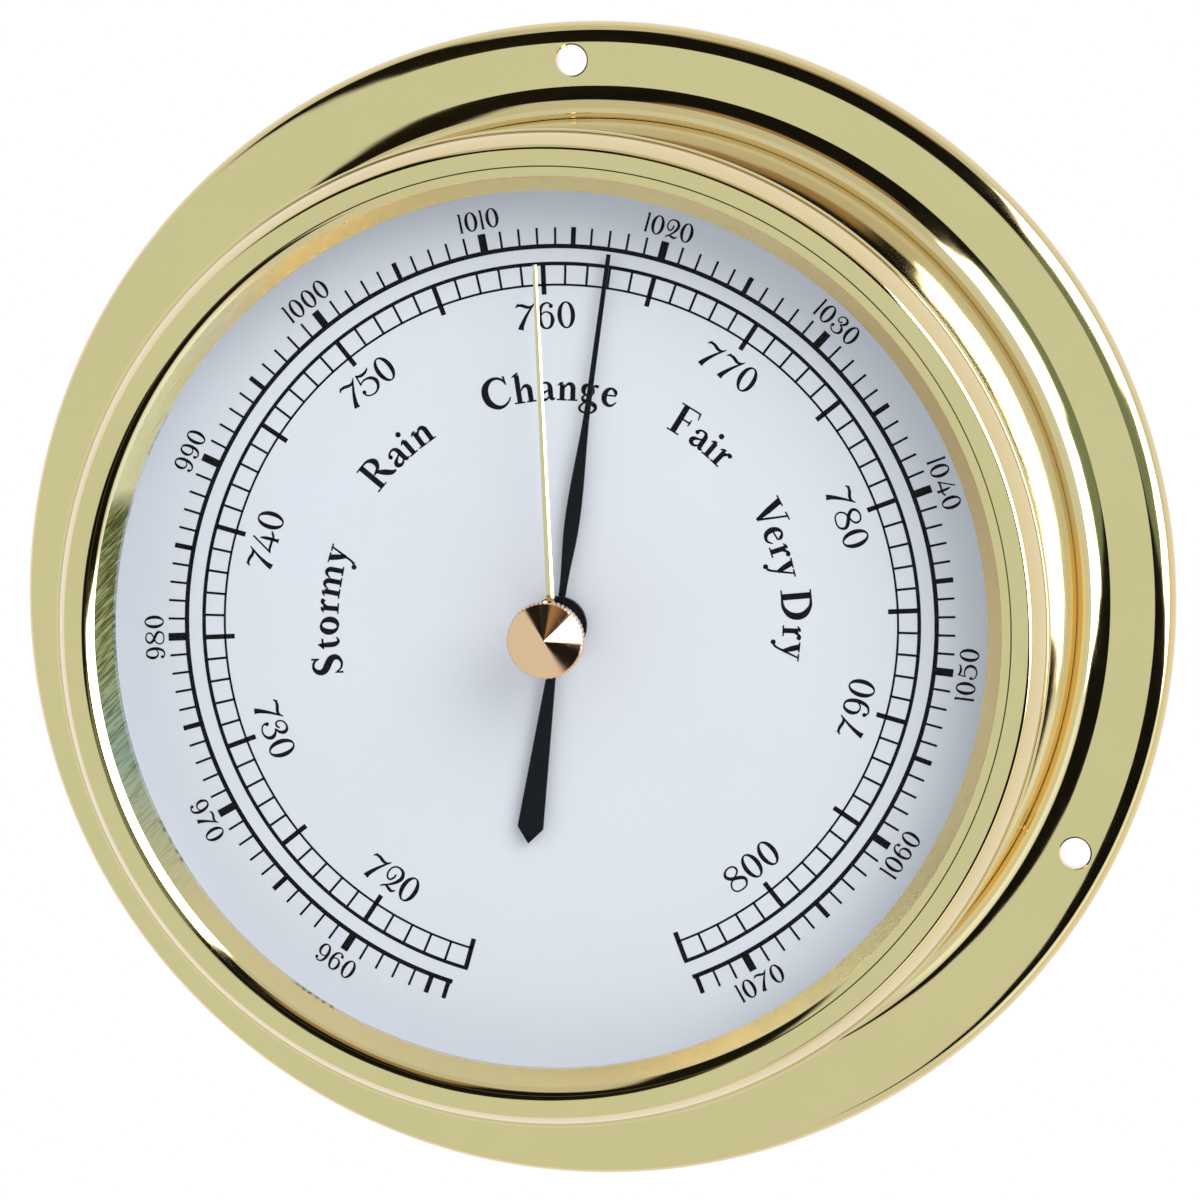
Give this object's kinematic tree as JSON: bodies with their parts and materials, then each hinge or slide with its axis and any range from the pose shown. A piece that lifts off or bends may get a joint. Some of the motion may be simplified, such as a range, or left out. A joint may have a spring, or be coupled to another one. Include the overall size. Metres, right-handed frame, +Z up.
{
  "type": "marine aneroid barometer",
  "caption": "Round wall barometer: flanged brass case, glazed bezel with turning set hand, printed dial and pointer, driven by a capsule through a rocking shaft, sector and pinion.",
  "frame": {"origin": "centre of the flange's back face, on the axis of the case, where the instrument lies on the wall or panel", "axes": "-Y out of the wall towards the viewer, +Z up to the scale's 1013 hPa mark, +X to the viewer's right"},
  "size_m": [0.12, 0.0445, 0.12],
  "materials": {
    "case_brass": "turned, polished and lacquered",
    "knob_brass": "turned and polished",
    "movement_brass": "fine milled",
    "clear_glass": "clear and flat",
    "black_rubber": "matt",
    "white_paint": "matt white paint",
    "dial_enamel": "printed, fine matt",
    "pointer_black": "matt black lacquer",
    "pivot_steel": "ground",
    "spring_steel": "tempered",
    "blued_steel": "heat blued",
    "sheet_steel": "zinc plated",
    "capsule_metal": "nickel plated, satin",
    "cover_black": "semi-gloss black paint"
  },
  "bodies": {
    "case": {"case_shell": "case_brass", "bezel_ring": "case_brass", "front_glass": "clear_glass", "glass_gasket": "black_rubber", "spacer_ring": "white_paint", "dial_plate": "dial_enamel", "dial_feet": "movement_brass", "dial_foot_nuts": "movement_brass", "glass_bush": "knob_brass", "hairspring_stud": "movement_brass", "arbor_bushes": "movement_brass", "staff_bushes": "movement_brass", "movement_bridge": "movement_brass", "bridge_pillars": "movement_brass", "bridge_screws": "blued_steel", "movement_plate": "movement_brass", "main_pillars": "movement_brass", "pillar_screws": "blued_steel", "base_plate": "sheet_steel", "rocker_bracket": "sheet_steel", "bracket_rivets": "sheet_steel", "pivot_screws": "pivot_steel", "capsule_lower": "capsule_metal", "capsule_foot": "movement_brass", "adjusting_leaf": "spring_steel", "leaf_spacer": "sheet_steel", "leaf_screws": "blued_steel", "rear_cover": "cover_black", "rear_cover_screws": "pivot_steel"},
    "pointer": {"pointer": "pointer_black", "pointer_collet": "movement_brass", "pointer_arbor": "pivot_steel", "pinion": "pivot_steel", "hairspring_collet": "movement_brass", "hairspring": "spring_steel"},
    "set_hand": {"set_hand": "knob_brass", "set_spindle": "knob_brass", "set_knob": "knob_brass", "friction_washer": "spring_steel"},
    "sector": {"sector_gear": "movement_brass", "sector_staff": "pivot_steel"},
    "rocking_shaft": {"rocking_shaft": "pivot_steel"},
    "capsule_stem": {"capsule_stem": "movement_brass", "capsule_upper": "capsule_metal"},
    "adjusting_screw": {"adjusting_screw": "movement_brass"}
  },
  "joints": [
    {"name": "capsule_lift", "type": "slide", "parent": "case", "child": "capsule_stem", "axis": [0, -1, 0], "range_m": [-0.00042, 0.000475], "deforming": ["capsule_upper"]},
    {"name": "rocker_turn", "type": "hinge", "parent": "case", "child": "rocking_shaft", "pos_m": [0.01, -0.0174, -0.0035], "axis": [1, 0, 0], "range_deg": [-6.95, 7.85]},
    {"name": "sector_turn", "type": "hinge", "parent": "case", "child": "sector", "pos_m": [0.01918, -0.0247, -0.0035], "axis": [0, 1, 0], "range_deg": [-12.7, 14.3]},
    {"name": "pointer_turn", "type": "hinge", "parent": "case", "child": "pointer", "pos_m": [0, -0.0247, 0], "axis": [0, 1, 0], "range_deg": [-170.4, 150.8], "deforming": ["hairspring"]},
    {"name": "set_hand_turn", "type": "hinge", "parent": "case", "child": "set_hand", "pos_m": [0, -0.0404, -0.0007], "axis": [0, 1, 0], "continuous": true},
    {"name": "adjusting_turn", "type": "hinge", "parent": "case", "child": "adjusting_screw", "pos_m": [0.027, -0.004, 0], "axis": [0, 1, 0], "range_deg": [-180, 180]}
  ],
  "couplings": [
    {"joint": "rocker_turn", "follows": "capsule_lift", "rad_per_m": 285.71},
    {"joint": "sector_turn", "follows": "capsule_lift", "rad_per_m": 521.43},
    {"joint": "pointer_turn", "follows": "capsule_lift", "rad_per_m": -6257.1}
  ]
}
